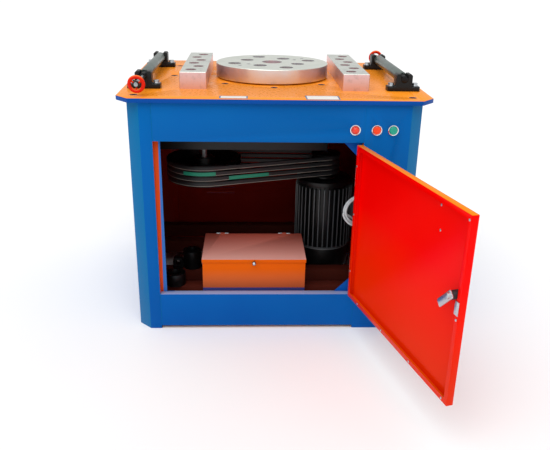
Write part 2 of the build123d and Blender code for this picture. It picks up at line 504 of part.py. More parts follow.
mount += block((MOTOR_X - 85, MOTOR_X + 85), (MOUNT_Y, MOUNT_Y + 50), (BEAM_TOP, BEAM_TOP + MOUNT_T))
for sign in (-1, 1):
    inner = MOTOR_X + sign * 60
    rib = Polyline((inner - 4, MOUNT_Y + MOUNT_T, BEAM_TOP + MOUNT_T),
                   (inner - 4, MOUNT_Y + 50, BEAM_TOP + MOUNT_T),
                   (inner - 4, MOUNT_Y + MOUNT_T, BEAM_TOP + 170), close=True)
    mount += extrude(make_face(rib), 8, dir=(1, 0, 0))
save(mount, "motor_mount")

# ---- door: inset sheet pan on two butt hinges, shown open ----
pin_line = Axis((HINGE_X, HINGE_Y, 0), (0, 0, 1))


def opened(shape):
    """Swing a piece of the closed door to its rest position."""
    return shape.rotate(pin_line, DOOR_OPEN_DEG)


door_x, door_z = (DOOR_LEFT, DOOR_RIGHT), (DOOR_BOTTOM, DOOR_TOP)
door_back = CAB_FRONT + DOOR_DEPTH
pan = block(door_x, (CAB_FRONT, door_back), door_z)
pan -= block((DOOR_LEFT + DOOR_SHEET, DOOR_RIGHT - DOOR_SHEET),
             (CAB_FRONT + DOOR_SHEET, door_back - DOOR_SHEET),
             (DOOR_BOTTOM + DOOR_SHEET, DOOR_TOP - DOOR_SHEET))
pan -= block((DOOR_LEFT + DOOR_LIP, DOOR_RIGHT - DOOR_LIP), (CAB_FRONT + DOOR_SHEET, door_back + 1),
             (DOOR_BOTTOM + DOOR_LIP, DOOR_TOP - DOOR_LIP))
LOCK_R = 11.0
pan -= rod(LOCK_X, LOCK_Z, (CAB_FRONT - 1, CAB_FRONT + 5), LOCK_R + 0.2)
save(opened(pan), "door_panel")

door_leaves, post_leaves = [], []
for low in HINGE_BOTTOMS:
    high = low + HINGE_H
    first, last = low + KNUCKLE_H, high - KNUCKLE_H
    pin = post(HINGE_X, HINGE_Y, (low, high), HINGE_PIN_R)
    leaf = block((OPENING_RIGHT - LEAF_T, OPENING_RIGHT), (CAB_FRONT, CAB_FRONT + 20), (low, high))
    for ends in ((low, first - 0.3), (last + 0.3, high)):
        leaf += post(HINGE_X, HINGE_Y, ends, KNUCKLE_R)
        leaf += block((OPENING_RIGHT - LEAF_T, OPENING_RIGHT), (HINGE_Y, CAB_FRONT + 1), ends)
    post_leaves.append(leaf + pin)
    leaf = block((DOOR_RIGHT, DOOR_RIGHT + LEAF_T), (CAB_FRONT, door_back), (low, high))
    leaf += post(HINGE_X, HINGE_Y, (first, last), KNUCKLE_R)
    leaf += block((DOOR_RIGHT, DOOR_RIGHT + LEAF_T), (HINGE_Y, CAB_FRONT + 1), (first, last))
    leaf -= post(HINGE_X, HINGE_Y, (low, high), HINGE_PIN_R + 0.06)
    door_leaves.append(opened(leaf))
save(group(post_leaves), "post_hinge_leaves")
save(group(door_leaves), "door_hinge_leaves")

# Quarter-turn lock: body through the skin, guard plate on the lip, tongue behind.
TONGUE_T, STUD_R = 3.0, 4.0
tongue_front = CAB_FRONT + FLANGE + 1.5
lock = rod(LOCK_X, LOCK_Z, (CAB_FRONT - 5, CAB_FRONT - 0.05), 14)
lock += rod(LOCK_X, LOCK_Z, (CAB_FRONT - 1, tongue_front - 0.4), LOCK_R)
lock -= rod(LOCK_X, LOCK_Z, (CAB_FRONT + 4, tongue_front + 1), STUD_R + 0.06)
guard = block((DOOR_LEFT + 2, DOOR_LEFT + 17), (door_back, door_back + 2), (LOCK_Z - 42, LOCK_Z - 9))
save(opened(lock), "door_lock_body")
save(opened(guard), "door_lock_plate")
tongue = block((-10, 10), (0, TONGUE_T), (-TONGUE_L, 10))
tongue = chamfer(tongue.edges().filter_by(Axis.Y), 3)
tongue = Pos(LOCK_X, tongue_front, LOCK_Z) * Rot(Y=TONGUE_REST_DEG - 270) * tongue
tongue += rod(LOCK_X, LOCK_Z, (CAB_FRONT + 6, tongue_front + TONGUE_T + 1), STUD_R)
tongue += Pos(LOCK_X, tongue_front + TONGUE_T, LOCK_Z) * Rot(X=-90) * extrude(RegularPolygon(7.5, 6), 6)
save(opened(tongue), "door_lock_tongue")

# ---- toolbox on the floor beams ----
BOX_SHEET, LID_SKIRT, LID_GAP = 1.5, 9.0, 0.6
body = block(TOOLBOX_X, TOOLBOX_Y, (BEAM_TOP, TOOLBOX_TOP))
body -= block((TOOLBOX_X[0] + BOX_SHEET, TOOLBOX_X[1] - BOX_SHEET),
              (TOOLBOX_Y[0] + BOX_SHEET, TOOLBOX_Y[1] - BOX_SHEET), (BEAM_TOP + BOX_SHEET, TOOLBOX_TOP + 1))
save(body, "toolbox_body")
lid_x = (TOOLBOX_X[0] - LID_GAP - BOX_SHEET, TOOLBOX_X[1] + LID_GAP + BOX_SHEET)
lid_y = (TOOLBOX_Y[0] - LID_GAP - BOX_SHEET, TOOLBOX_Y[1])
lid_z = (TOOLBOX_TOP - LID_SKIRT, TOOLBOX_TOP + LID_GAP + BOX_SHEET)
lid = block(lid_x, lid_y, lid_z)
lid -= block((TOOLBOX_X[0] - LID_GAP, TOOLBOX_X[1] + LID_GAP), (TOOLBOX_Y[0] - LID_GAP, TOOLBOX_Y[1] + 1),
             (TOOLBOX_TOP - LID_SKIRT - 1, TOOLBOX_TOP + LID_GAP))
lid_pin_y, lid_pin_z = TOOLBOX_Y[1] + 3.6, TOOLBOX_TOP + 1.0
LID_KNUCKLE_R, LID_PIN_R = 2.6, 1.2
hinge_parts = []
for middle in (TOOLBOX_X[0] + 55, TOOLBOX_X[1] - 55):
    half_hinge = Pos(middle, lid_pin_y, lid_pin_z) * Rot(Y=90) * Cylinder(LID_PIN_R, 40)
    for ends in ((middle - 20, middle - 7), (middle + 7, middle + 20)):
        knuckle = Pos((ends[0] + ends[1]) / 2, lid_pin_y, lid_pin_z) * Rot(Y=90)
        half_hinge += knuckle * Cylinder(LID_KNUCKLE_R, ends[1] - ends[0])
        half_hinge += block(ends, (TOOLBOX_Y[1], TOOLBOX_Y[1] + 1), (TOOLBOX_TOP - 18, TOOLBOX_TOP - 1.2))
        half_hinge += block(ends, (TOOLBOX_Y[1], lid_pin_y), (TOOLBOX_TOP - 2.2, TOOLBOX_TOP - 1.2))
    hinge_parts.append(half_hinge)
    barrel = Pos(middle, lid_pin_y, lid_pin_z) * Rot(Y=90) * Cylinder(LID_KNUCKLE_R, 13)
    tab = block((middle - 6.5, middle + 6.5), (TOOLBOX_Y[1] - 12, lid_pin_y),
                (lid_z[1] - BOX_SHEET, lid_z[1] + 0.4))
    lid += tab + barrel
    lid -= Pos(middle, lid_pin_y, lid_pin_z) * Rot(Y=90) * Cylinder(LID_PIN_R + 0.06, 42)
save(lid, "toolbox_lid")
save(group(hinge_parts), "toolbox_hinges")
knob_x = (TOOLBOX_X[0] + TOOLBOX_X[1]) / 2
knob = rod(knob_x, TOOLBOX_TOP - 5, (lid_y[0] - 12, lid_y[0]), 4)
knob += Pos(knob_x, lid_y[0] - 14, TOOLBOX_TOP - 5) * Sphere(6.5)
save(knob, "toolbox_knob")

# ---- loose tooling stored beside the toolbox ----
sleeve_places = ((-306.0, -250.0, 32.0, 18.0, 40.0), (-262.0, -120.0, 30.0, 16.0, 62.0))
spares = []
for x, y, outer, inner, height in sleeve_places:
    sleeve = post(x, y, (BEAM_TOP, BEAM_TOP + height), outer)
    spares.append(sleeve - post(x, y, (BEAM_TOP, BEAM_TOP + height + 1), inner))
FORK_X, FORK_Y, FORK_H = (-325.0, -293.0), (-140.0, -112.0), 38.0
fork_mid = (FORK_X[0] + FORK_X[1]) / 2
fork = block(FORK_X, FORK_Y, (BEAM_TOP, BEAM_TOP + FORK_H))
fork = fillet(fork.edges().filter_by(Axis.Y).group_by(Axis.Z)[-1], 12)
fork -= rod(fork_mid, BEAM_TOP + 22, (FORK_Y[0] - 1, FORK_Y[1] + 1), 8)
spares.append(fork)
save(group(spares), "spare_tooling")

# ---- control station: lamp, two push buttons, their box and cable ----
bezels = []
for x in (LAMP_X, RED_X, GREEN_X):
    ring = rod(x, CONTROL_Z, (CAB_FRONT - 4, CAB_FRONT), BEZEL_R)
    bezels.append(ring - rod(x, CONTROL_Z, (CAB_FRONT - 5, CAB_FRONT + 1), CONTROL_HOLE_R))
save(group(bezels), "control_bezels")
BUTTON_FRONT, BUTTON_REAR = CAB_FRONT - 9, CAB_FRONT + 14
for name, x in (("red_button", RED_X), ("green_button", GREEN_X)):
    cap = rod(x, CONTROL_Z, (BUTTON_FRONT, BUTTON_REAR), BUTTON_R)
    save(fillet(cap.edges().group_by(Axis.Y)[0], 2), name)
lamp = rod(LAMP_X, CONTROL_Z, (CAB_FRONT - 5, CAB_FRONT + 18), CONTROL_HOLE_R - 0.3)
dome = Pos(LAMP_X, CAB_FRONT - 5, CONTROL_Z) * Rot(X=90) * Sphere(CONTROL_HOLE_R - 0.3)
lamp += dome & block((LAMP_X - 20, LAMP_X + 20), (CAB_FRONT - 30, CAB_FRONT - 5),
                     (CONTROL_Z - 20, CONTROL_Z + 20))
save(lamp, "indicator_lamp")
STATION_Y = (CAB_FRONT + 20, CAB_FRONT + 62)
station = block((RED_X - 24, GREEN_X + 24), STATION_Y, (CONTROL_Z - 34, CONTROL_Z + 40))
station += block((RED_X - 24, GREEN_X + 24), (CAB_FRONT + SHEET, STATION_Y[0]),
                 (CONTROL_Z + 36, CONTROL_Z + 40))
save(station, "control_station")

# Cable: down from the control station to a hanging coil, then back to the motor's terminal box.
cx, cy, cz = COIL_CENTRE
coil = Pos(cx, cy, cz) * Rot(X=90) * Torus(COIL_R, COIL_TUBE_R)
save(coil, "control_cable_coil")


def lead(route):
    """Cable tube of straight runs with tangent arcs as large as the runs allow."""
    points = [Vector(*p) for p in route]
    radii = []
    for a, b, c in zip(points, points[1:], points[2:]):
        turn = math.radians((b - a).get_angle(c - b))
        shorter = min((b - a).length, (c - b).length)
        radii.append(0.45 * shorter / math.tan(turn / 2))
    print("cable radii", [round(r, 1) for r in radii])
    path = FilletPolyline(*points, radius=radii)
    start = Plane(origin=points[0], z_dir=points[1] - points[0])
    tube = sweep(start * Circle(CABLE_R), path=path)
    print("cable length", round(path.length, 1), "volume share",
          round(tube.volume / (math.pi * CABLE_R ** 2 * path.length), 4))
    return tube


COIL_TOP = cz + COIL_R + COIL_TUBE_R
down_lead = lead([(290, -318, CONTROL_Z - 34), (289, -316, 545), (280, -306, 500), (268, -298, 460),
                  (258, cy, COIL_TOP)])
back_lead = lead([(cx + 6, cy + COIL_TUBE_R, cz - COIL_R), (cx + 12, cy + 46, 306), (cx + 26, cy + 92, 290),
                  (cx + 40, cy + 140, 276), (cx + 46, cy + 196, 268), (cx + 45, MOTOR_Y - 42, 267)])
save(group([down_lead, back_lead]), "control_cable")
print("gear shafts", [tuple(round(v, 4) for v in xy) for xy, _ in SHAFTS])
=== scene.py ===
import bpy
import json
from math import cos, pi, radians, sin
from mathutils import Matrix, Vector

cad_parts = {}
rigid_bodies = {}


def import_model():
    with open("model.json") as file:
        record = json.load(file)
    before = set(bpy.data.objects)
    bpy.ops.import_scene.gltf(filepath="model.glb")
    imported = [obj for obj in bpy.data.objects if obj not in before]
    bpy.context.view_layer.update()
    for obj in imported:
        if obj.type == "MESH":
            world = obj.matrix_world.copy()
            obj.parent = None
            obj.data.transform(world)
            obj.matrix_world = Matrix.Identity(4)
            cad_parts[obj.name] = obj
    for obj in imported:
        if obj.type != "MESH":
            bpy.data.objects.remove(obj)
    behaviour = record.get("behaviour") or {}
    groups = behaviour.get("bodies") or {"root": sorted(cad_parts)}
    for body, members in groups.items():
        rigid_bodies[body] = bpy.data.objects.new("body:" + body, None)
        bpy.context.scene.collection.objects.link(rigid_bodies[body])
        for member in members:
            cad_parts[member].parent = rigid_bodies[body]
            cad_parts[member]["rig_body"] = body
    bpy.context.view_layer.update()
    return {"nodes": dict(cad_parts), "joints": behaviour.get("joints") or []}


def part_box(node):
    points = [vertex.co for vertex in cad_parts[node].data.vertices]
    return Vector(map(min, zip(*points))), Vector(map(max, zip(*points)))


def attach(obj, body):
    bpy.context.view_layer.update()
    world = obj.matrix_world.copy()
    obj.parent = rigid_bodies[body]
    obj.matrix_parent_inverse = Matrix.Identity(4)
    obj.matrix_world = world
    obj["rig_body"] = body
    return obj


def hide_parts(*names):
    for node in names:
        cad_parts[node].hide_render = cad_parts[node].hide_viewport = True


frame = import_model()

bpy.ops.object.select_all(action="DESELECT")
MM = 0.001

# ---- Camera ----
# The machine is seen from the front, a little left of its middle and from 0.35 m above the table,
# with a slight roll.  The lens is shifted a little to place the machine in the frame.
CAMERA_PLACE = Vector((-0.0803, -2.2037, 1.0546))
CAMERA_DOWN, CAMERA_RIGHT, CAMERA_ROLL = radians(22.8), radians(2.6), radians(1.1)
bpy.ops.object.camera_add(location=CAMERA_PLACE)
camera = bpy.context.object
turn = Matrix.Rotation(-CAMERA_RIGHT, 4, "Z") @ Matrix.Rotation(pi / 2 - CAMERA_DOWN, 4, "X")
camera.matrix_world = Matrix.Translation(CAMERA_PLACE) @ turn @ Matrix.Rotation(CAMERA_ROLL, 4, "Z")
camera.data.sensor_width = 36.0
camera.data.lens = 44.27
camera.data.shift_y = 0.0364
bpy.context.scene.camera = camera
bpy.context.scene.view_settings.view_transform = "Standard"


# ---- Control cable ----
# Grey PVC sheathed flex, 7 mm thick, from the control station down to a coil of spare turns and back
# to the terminal box of the motor.  The coil hangs from the cable by its own stiffness.
def srgb(code):
    """A colour from its sRGB hex code, as the linear values that a shader wants."""
    parts = [int(code[i:i + 2], 16) / 255 for i in (1, 3, 5)]
    return [p / 12.92 if p <= 0.04045 else ((p + 0.055) / 1.055) ** 2.4 for p in parts] + [1.0]


def add(tree, kind, inputs=None, **settings):
    """Adds one shader node, with its settings, and its inputs as values or links."""
    made = tree.nodes.new("ShaderNode" + kind)
    for key, value in settings.items():
        setattr(made, key, value)
    for key, value in (inputs or {}).items():
        if isinstance(value, bpy.types.NodeSocket):
            tree.links.new(value, made.inputs[key])
        else:
            made.inputs[key].default_value = value
    return made


def new_material(name, **shader):
    """An empty material: its tree, the shader with these constants, and Object coordinates."""
    material = bpy.data.materials.new(name)
    material.use_nodes = True
    tree = material.node_tree
    principled = tree.nodes["Principled BSDF"]
    for key, value in shader.items():
        principled.inputs[key.replace("_", " ")].default_value = value
    return material, tree, principled, add(tree, "TexCoord").outputs["Object"]


def grain(tree, place, size_mm, detail=2.0, stretch=(1, 1, 1)):
    """Noise whose patches are about size_mm across."""
    scaled = add(tree, "Mapping", {"Vector": place, "Scale": stretch})
    return add(tree, "TexNoise", {"Vector": scaled.outputs[0], "Scale": 1 / (size_mm * MM),
                                  "Detail": detail}).outputs["Fac"]


def between(tree, mask, low, high):
    """Maps a 0 to 1 mask onto a range of values."""
    return add(tree, "MapRange", {"Value": mask, "To Min": low, "To Max": high}).outputs["Result"]


def mixed(tree, mask, first, second):
    """A colour that goes from the first to the second by the mask."""
    made = add(tree, "Mix", data_type="RGBA")
    for socket, value in ((made.inputs[0], mask), (made.inputs[6], first), (made.inputs[7], second)):
        if isinstance(value, bpy.types.NodeSocket):
            tree.links.new(value, socket)
        else:
            socket.default_value = value
    return made.outputs[2]


def bump(tree, principled, height, depth_mm, strength=1.0):
    """Gives the shader a surface relief."""
    made = add(tree, "Bump", {"Height": height, "Distance": depth_mm * MM, "Strength": strength})
    tree.links.new(made.outputs[0], principled.inputs["Normal"])


def paint(obj, material):
    """Gives an object one material."""
    obj.data.materials.clear()
    obj.data.materials.append(material)


def moulded(name, code, dark, size_mm, roughness, depth_mm, **shader):
    """Moulded plastic or rubber: cloudy colour, and a fine texture from the mould."""
    material, tree, principled, place = new_material(name, **shader)
    cloud = grain(tree, place, 14, 3)
    tree.links.new(mixed(tree, cloud, srgb(dark), srgb(code)), principled.inputs["Base Color"])
    tree.links.new(between(tree, cloud, roughness - 0.06, roughness + 0.08), principled.inputs["Roughness"])
    bump(tree, principled, grain(tree, place, size_mm, 1), depth_mm)
    return material


CABLE_D = 7 * MM
COIL_CENTRE, COIL_R, STRAND_OFFSET = Vector((0.256, -0.296, 0.362)), 0.0437, 0.0045
COIL_TURNS, TURN_POINTS, DROOP, DROOP_WAY = 3, 14, 0.009, radians(62)
START_ANGLE, POINTS_SHORT = pi / 2 - 0.25, 3
down_route = [(0.290, -0.318, 0.592), (0.289, -0.316, 0.545), (0.280, -0.306, 0.500),
              (0.268, -0.298, 0.460), (0.262, -0.296, 0.425)]
back_route = [(0.268, -0.276, 0.312), (0.268, -0.250, 0.306), (0.282, -0.204, 0.290),
              (0.296, -0.156, 0.276), (0.302, -0.100, 0.268), (0.301, -0.042, 0.267)]
coil_route = []
for step in range(COIL_TURNS * TURN_POINTS - POINTS_SHORT):
    angle = START_ANGLE - 2 * pi * step / TURN_POINTS
    lay = 2 * pi * step / TURN_POINTS / COIL_TURNS
    droop = DROOP * max(0.0, cos(angle - DROOP_WAY)) ** 2
    reach = COIL_R + droop + STRAND_OFFSET * cos(lay)
    out = Vector((reach * cos(angle), STRAND_OFFSET * sin(lay), reach * sin(angle)))
    coil_route.append(COIL_CENTRE + out)
route = down_route + coil_route + back_route
cable_line = bpy.data.curves.new("control_cable_line", "CURVE")
cable_line.dimensions = "3D"
spline = cable_line.splines.new("NURBS")
spline.points.add(len(route) - 1)
for point, place in zip(spline.points, route):
    point.co = (*place, 1)
spline.order_u = 3
spline.use_endpoint_u = True
spline.resolution_u = 6
cable_line.bevel_depth = CABLE_D / 2
cable_line.bevel_resolution = 4
cable_line.use_fill_caps = True
cable = bpy.data.objects.new("grey_control_cable", cable_line)
bpy.context.scene.collection.objects.link(cable)
# PVC sheath: smooth, slightly cloudy grey with a soft sheen.
cable_line.materials.append(moulded("extruded_pvc_sheath", "#D9DCDE", "#B9BEC2", 1.5, 0.38, 0.02))
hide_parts("control_cable", "control_cable_coil")
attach(cable, "machine")

# ---- Cabinet panels ----
# Folded 3 mm steel sheet, welded at the corners: blue gloss enamel outside, orange-red enamel inside,
# darkened further back from the door way as painted shade.
# The two side panels wrap round the chamfered corners and form the posts beside the door way.
def finished_copy(node, edge_mm, name=None, smooth_deg=35):
    """A merged, bevelled and smoothed copy of a CAD node, which stands for that node."""
    source = frame["nodes"][node]
    copy = bpy.data.objects.new(name or node + "_finished", source.data.copy())
    bpy.context.scene.collection.objects.link(copy)
    bpy.context.view_layer.objects.active = copy
    copy.select_set(True)
    bpy.ops.object.mode_set(mode="EDIT")
    bpy.ops.mesh.select_all(action="SELECT")
    bpy.ops.mesh.customdata_custom_splitnormals_clear()
    bpy.ops.mesh.remove_doubles(threshold=0.00001)
    bpy.ops.mesh.dissolve_limited(angle_limit=radians(0.6))
    bpy.ops.object.mode_set(mode="OBJECT")
    if edge_mm:
        rounding = copy.modifiers.new("edges", "BEVEL")
        rounding.width = edge_mm * MM
        rounding.segments = 2
        rounding.limit_method = "ANGLE"
        rounding.angle_limit = radians(40)
        bpy.ops.object.modifier_apply(modifier="edges")
    bpy.ops.object.shade_smooth_by_angle(angle=radians(smooth_deg))
    copy.select_set(False)
    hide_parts(node)
    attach(copy, source["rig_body"])
    return copy


def enamel(name, code, deep, roughness=0.2, accent=None, accent_mask=None):
    """Sprayed gloss enamel on steel: slow colour drift, and an orange peel 12 mm across."""
    material, tree, principled, place = new_material(name, Specular_IOR_Level=0.07)
    drift = grain(tree, place, 160, 2)
    colour = mixed(tree, drift, srgb(deep), srgb(code))
    if accent:
        colour = mixed(tree, accent_mask(tree, place), colour, srgb(accent))
    dust = grain(tree, place, 9, 5)
    tree.links.new(colour, principled.inputs["Base Color"])
    tree.links.new(between(tree, dust, roughness, roughness + 0.08), principled.inputs["Roughness"])
    bump(tree, principled, grain(tree, place, 12, 1), 0.004, 0.2)
    return material


def compare(tree, kind, first, second):
    """1 where the first value is less or greater than the second."""
    return add(tree, "Math", {0: first, 1: second}, operation=kind).outputs[0]


def times(tree, *masks):
    """The product of some masks."""
    held = masks[0]
    for mask in masks[1:]:
        held = add(tree, "Math", {0: held, 1: mask}, operation="MULTIPLY").outputs[0]
    return held


panel_enamel, tree, shader, place = new_material("blue_enamel_orange_inside", Specular_IOR_Level=0.07)
axes = add(tree, "SeparateXYZ", {0: place}).outputs
normal = add(tree, "NewGeometry").outputs["True Normal"]
ways = add(tree, "SeparateXYZ", {0: normal}).outputs
flat_place = add(tree, "VectorMath", {0: place, 1: (1, 1, 0)}, operation="MULTIPLY").outputs[0]
outward = add(tree, "VectorMath", {0: flat_place, 1: normal}, operation="DOT_PRODUCT").outputs["Value"]
drift = grain(tree, place, 160, 2)
low_down = add(tree, "MapRange", {"Value": axes[2], "From Min": 0.0, "From Max": 0.7}).outputs["Result"]
outside = mixed(tree, drift, mixed(tree, low_down, srgb("#004C9E"), srgb("#0068B0")), srgb("#005CAA"))
# Chamfered corner faces, turned part way to the side, take a lighter teal blue: painted light on them.
sideways = add(tree, "Math", {0: ways[0]}, operation="ABSOLUTE").outputs[0]
chamfer_painted_light = times(tree, compare(tree, "GREATER_THAN", sideways, 0.3), compare(tree, "LESS_THAN", ways[1], -0.3))
outside = mixed(tree, times(tree, chamfer_painted_light, 0.6), outside, srgb("#00709A"))
# Up-facing faces low on the sill are whitish blue: a painted reflection of the light on the gloss.
lip = times(tree, compare(tree, "GREATER_THAN", ways[2], 0.7), compare(tree, "LESS_THAN", axes[2], 0.13))
outside = mixed(tree, times(tree, lip, 0.5), outside, srgb("#C6CCE6"))
# Inside faces run from orange-red at the door way to dark red further back: painted shade inside the cabinet.
depth = add(tree, "MapRange", {"Value": axes[1], "From Min": -0.335, "From Max": -0.31}).outputs["Result"]
inside = mixed(tree, depth, srgb("#D8541A"), srgb("#961E12"))
# The door stop strip by the left post is orange-red up to a line that slants with height, and lighter blue
# past it.
stop_edge = add(tree, "Math", {0: axes[2], 1: 0.0123, 2: -0.3355}, operation="MULTIPLY_ADD").outputs[0]
on_stop = times(tree, compare(tree, "GREATER_THAN", axes[1], -0.342),
                compare(tree, "LESS_THAN", axes[1], -0.336),
                compare(tree, "LESS_THAN", axes[0], -0.3), compare(tree, "GREATER_THAN", axes[0], -0.346))
past_edge = compare(tree, "GREATER_THAN", axes[0], stop_edge)
stop_colour = mixed(tree, past_edge, srgb("#D8501A"), srgb("#3C78C8"))
behind_skin = compare(tree, "GREATER_THAN", axes[1], -0.3603)
faces_in = compare(tree, "LESS_THAN", outward, -0.01)
colour = mixed(tree, times(tree, faces_in, behind_skin), outside, inside)
dust = grain(tree, place, 9, 5)
tree.links.new(mixed(tree, on_stop, colour, stop_colour), shader.inputs["Base Color"])
tree.links.new(between(tree, dust, 0.2, 0.3), shader.inputs["Roughness"])
bump(tree, shader, grain(tree, place, 12, 1), 0.004, 0.2)
for node in ("left_side_panel", "right_side_panel", "header_panel", "sill_panel", "rear_panel"):
    panel = finished_copy(node, 0.8)
    paint(panel, panel_enamel)
gusset_enamel = enamel("blue_enamel", "#0656B4", "#044A9C")
gussets = finished_copy("corner_gussets", 0.6)
paint(gussets, gusset_enamel)

# ---- Floor beams and loose tooling ----
# Pressed steel channels, dark red primer, welded between the side panels.
# Blackened bending sleeves and a fork block lie on them beside the toolbox.
primer = enamel("red_oxide_primer", "#5E261C", "#431A14", roughness=0.5)
beams = finished_copy("floor_beams", 0.8)
paint(beams, primer)


def steel(name, code, dark, roughness, lay_mm, stretch=(1, 1, 1), stain_share=0.0, side=None):
    """Bare worked steel: fine tool lines lay_mm apart along one direction, with cloudy handling marks; side,
    if given, is a painted reflection on faces that don't look up.
    """
    material, tree, principled, place = new_material(name, Metallic=1.0)
    cloud = grain(tree, place, 45, 4)
    colour = mixed(tree, cloud, srgb(dark), srgb(code))
    # Faces that don't look up take the side colour: a painted reflection.
    if side:
        upward = add(tree, "SeparateXYZ", {0: add(tree, "NewGeometry").outputs["True Normal"]}).outputs[2]
        colour = mixed(tree, compare(tree, "LESS_THAN", upward, 0.5), colour, srgb(side))
    if stain_share:
        spots = add(tree, "MapRange", {"Value": grain(tree, place, 16, 6), "From Min": 0.55, "From Max": 0.75,
                                       "To Max": stain_share}).outputs["Result"]
        colour = mixed(tree, spots, colour, srgb("#5C5A52"))
    lines = grain(tree, place, lay_mm, 3, stretch)
    tree.links.new(colour, principled.inputs["Base Color"])
    tree.links.new(between(tree, lines, roughness - 0.08, roughness + 0.12), principled.inputs["Roughness"])
    bump(tree, principled, lines, 0.05, 0.5)
    return material


blackened = steel("blackened_steel", "#3A3B3D", "#1E1F21", 0.42, 2.0)
spares = finished_copy("spare_tooling", 1.0)
paint(spares, blackened)

# ---- Toolbox ----
# Orange enamelled sheet box with a hinged lid, standing on the beams, with a small zinc-plated knob. Its pink
# lid, pinker lower front and blue foot band are painted reflections.
box_enamel, tree, shader, place = new_material("orange_toolbox_enamel", Specular_IOR_Level=0.07)
axes = add(tree, "SeparateXYZ", {0: place}).outputs
up_way = add(tree, "SeparateXYZ", {0: add(tree, "NewGeometry").outputs["True Normal"]}).outputs[2]
# The lid runs from pale pink at the front to pink-orange at the back: a painted reflection on the gloss.
lid_tone = add(tree, "MapRange", {"Value": axes[1], "From Min": -0.31, "From Max": -0.09}).outputs["Result"]
lid_painted_reflection = mixed(tree, lid_tone, srgb("#E2A89C"), srgb("#D86450"))
# The front turns pinker towards its foot, and below 112 mm it is blue: painted reflections of the blue sill.
low_front_reflection_fade = add(tree, "MapRange", {"Value": axes[2], "From Min": 0.175, "From Max": 0.118}).outputs["Result"]
front_tone = mixed(tree, low_front_reflection_fade, srgb("#DC5E00"), srgb("#D06C40"))
front_tone = mixed(tree, compare(tree, "LESS_THAN", axes[2], 0.112), front_tone, srgb("#4650A0"))
scuffs = grain(tree, place, 25, 5)
on_lid = compare(tree, "GREATER_THAN", up_way, 0.5)
tree.links.new(mixed(tree, on_lid, front_tone, lid_painted_reflection), shader.inputs["Base Color"])
tree.links.new(between(tree, scuffs, 0.22, 0.42), shader.inputs["Roughness"])
bump(tree, shader, scuffs, 0.03, 0.4)
for node in ("toolbox_body", "toolbox_lid"):
    shell = finished_copy(node, 0.4)
    paint(shell, box_enamel)
# Zinc plate: bright bluish silver with cloudy spangle.
zinc = steel("zinc_plated_steel", "#D9DEE2", "#AEB6BC", 0.26, 2.0)
for node, edge in (("toolbox_hinges", 0.2), ("toolbox_knob", 0.4)):
    paint(finished_copy(node, edge), zinc)

# ---- Gearbox, shafts and gears ----
# Black enamelled cast iron box hung under the table, with steel shafts and gears inside it.
def casting(name, code, dark):
    """Sand-cast iron under black enamel: 4 mm lumps from the mould under a half-gloss skin."""
    material, tree, principled, place = new_material(name, Specular_IOR_Level=0.35)
    cloud = grain(tree, place, 30, 4)
    tree.links.new(mixed(tree, cloud, srgb(dark), srgb(code)), principled.inputs["Base Color"])
    tree.links.new(between(tree, cloud, 0.3, 0.5), principled.inputs["Roughness"])
    bump(tree, principled, grain(tree, place, 4, 3), 0.25)
    return material


black_casting = casting("black_enamelled_casting", "#0A0A0B", "#040405")
for node in ("gearbox_housing", "gearbox_cover"):
    paint(finished_copy(node, 1.5), black_casting)
cut_steel = steel("cut_gear_steel", "#9EA0A1", "#77797B", 0.38, 1.5, stain_share=0.4)
for node in ("main_gear", "third_gear", "second_gear", "input_shaft", "second_shaft", "third_shaft",
             "gearbox_bearings", "motor_rotor"):
    paint(frame["nodes"][node], cut_steel)

# ---- Belt drive ----
# Four moulded rubber V-belts, black, with a pale stripe along the lower edge of each on the front run as a
# painted highlight; two of them carry a blank green band.
# They run from the small pulley of the motor to the large pulley of the gearbox.
BAND_SPANS = ((0.4395, -0.277, -0.177), (0.4225, -0.136, -0.010))
BELT_HALF, BELT_PITCH = 6.0 * MM, 17 * MM
belt_rubber, tree, shader, place = new_material("belt_rubber_painted_edge_highlight", Specular_IOR_Level=0.4)
axes = add(tree, "SeparateXYZ", {0: place}).outputs
in_front = compare(tree, "LESS_THAN", axes[1], -0.045)
bands = 0.0
for band_z, band_start, band_end in BAND_SPANS:
    spans = ((axes[2], band_z, BELT_HALF),
             (axes[0], (band_start + band_end) / 2, (band_end - band_start) / 2))
    sides = [add(tree, "Math", {0: value, 1: middle, 2: reach}, operation="COMPARE").outputs[0]
             for value, middle, reach in spans]
    band = times(tree, in_front, *sides)
    bands = add(tree, "Math", {0: bands, 1: band}, operation="MAXIMUM").outputs[0]
weave = grain(tree, place, 1.5, 2)
rubber = mixed(tree, weave, srgb("#121314"), srgb("#26282A"))
belt_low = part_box("drive_belts")[0].z
offset = add(tree, "Math", {0: axes[2], 1: belt_low}, operation="SUBTRACT").outputs[0]
in_pitch = add(tree, "Math", {0: offset, 1: BELT_PITCH}, operation="FLOORED_MODULO").outputs[0]
# The lowest 2.2 mm of each belt on the front run is pale grey: a painted highlight.
belt_painted_highlight = times(tree, compare(tree, "LESS_THAN", in_pitch, 2.2 * MM), in_front)
rubber = mixed(tree, belt_painted_highlight, rubber, srgb("#8E8A82"))
tree.links.new(mixed(tree, bands, rubber, mixed(tree, weave, srgb("#0C7A5E"), srgb("#2CA080"))),
               shader.inputs["Base Color"])
tree.links.new(between(tree, weave, 0.42, 0.62), shader.inputs["Roughness"])
bump(tree, shader, weave, 0.12)
belts = finished_copy("drive_belts", 1.6)
paint(belts, belt_rubber)
for node in ("large_pulley", "motor_pulley"):
    paint(finished_copy(node, 0.6), black_casting)

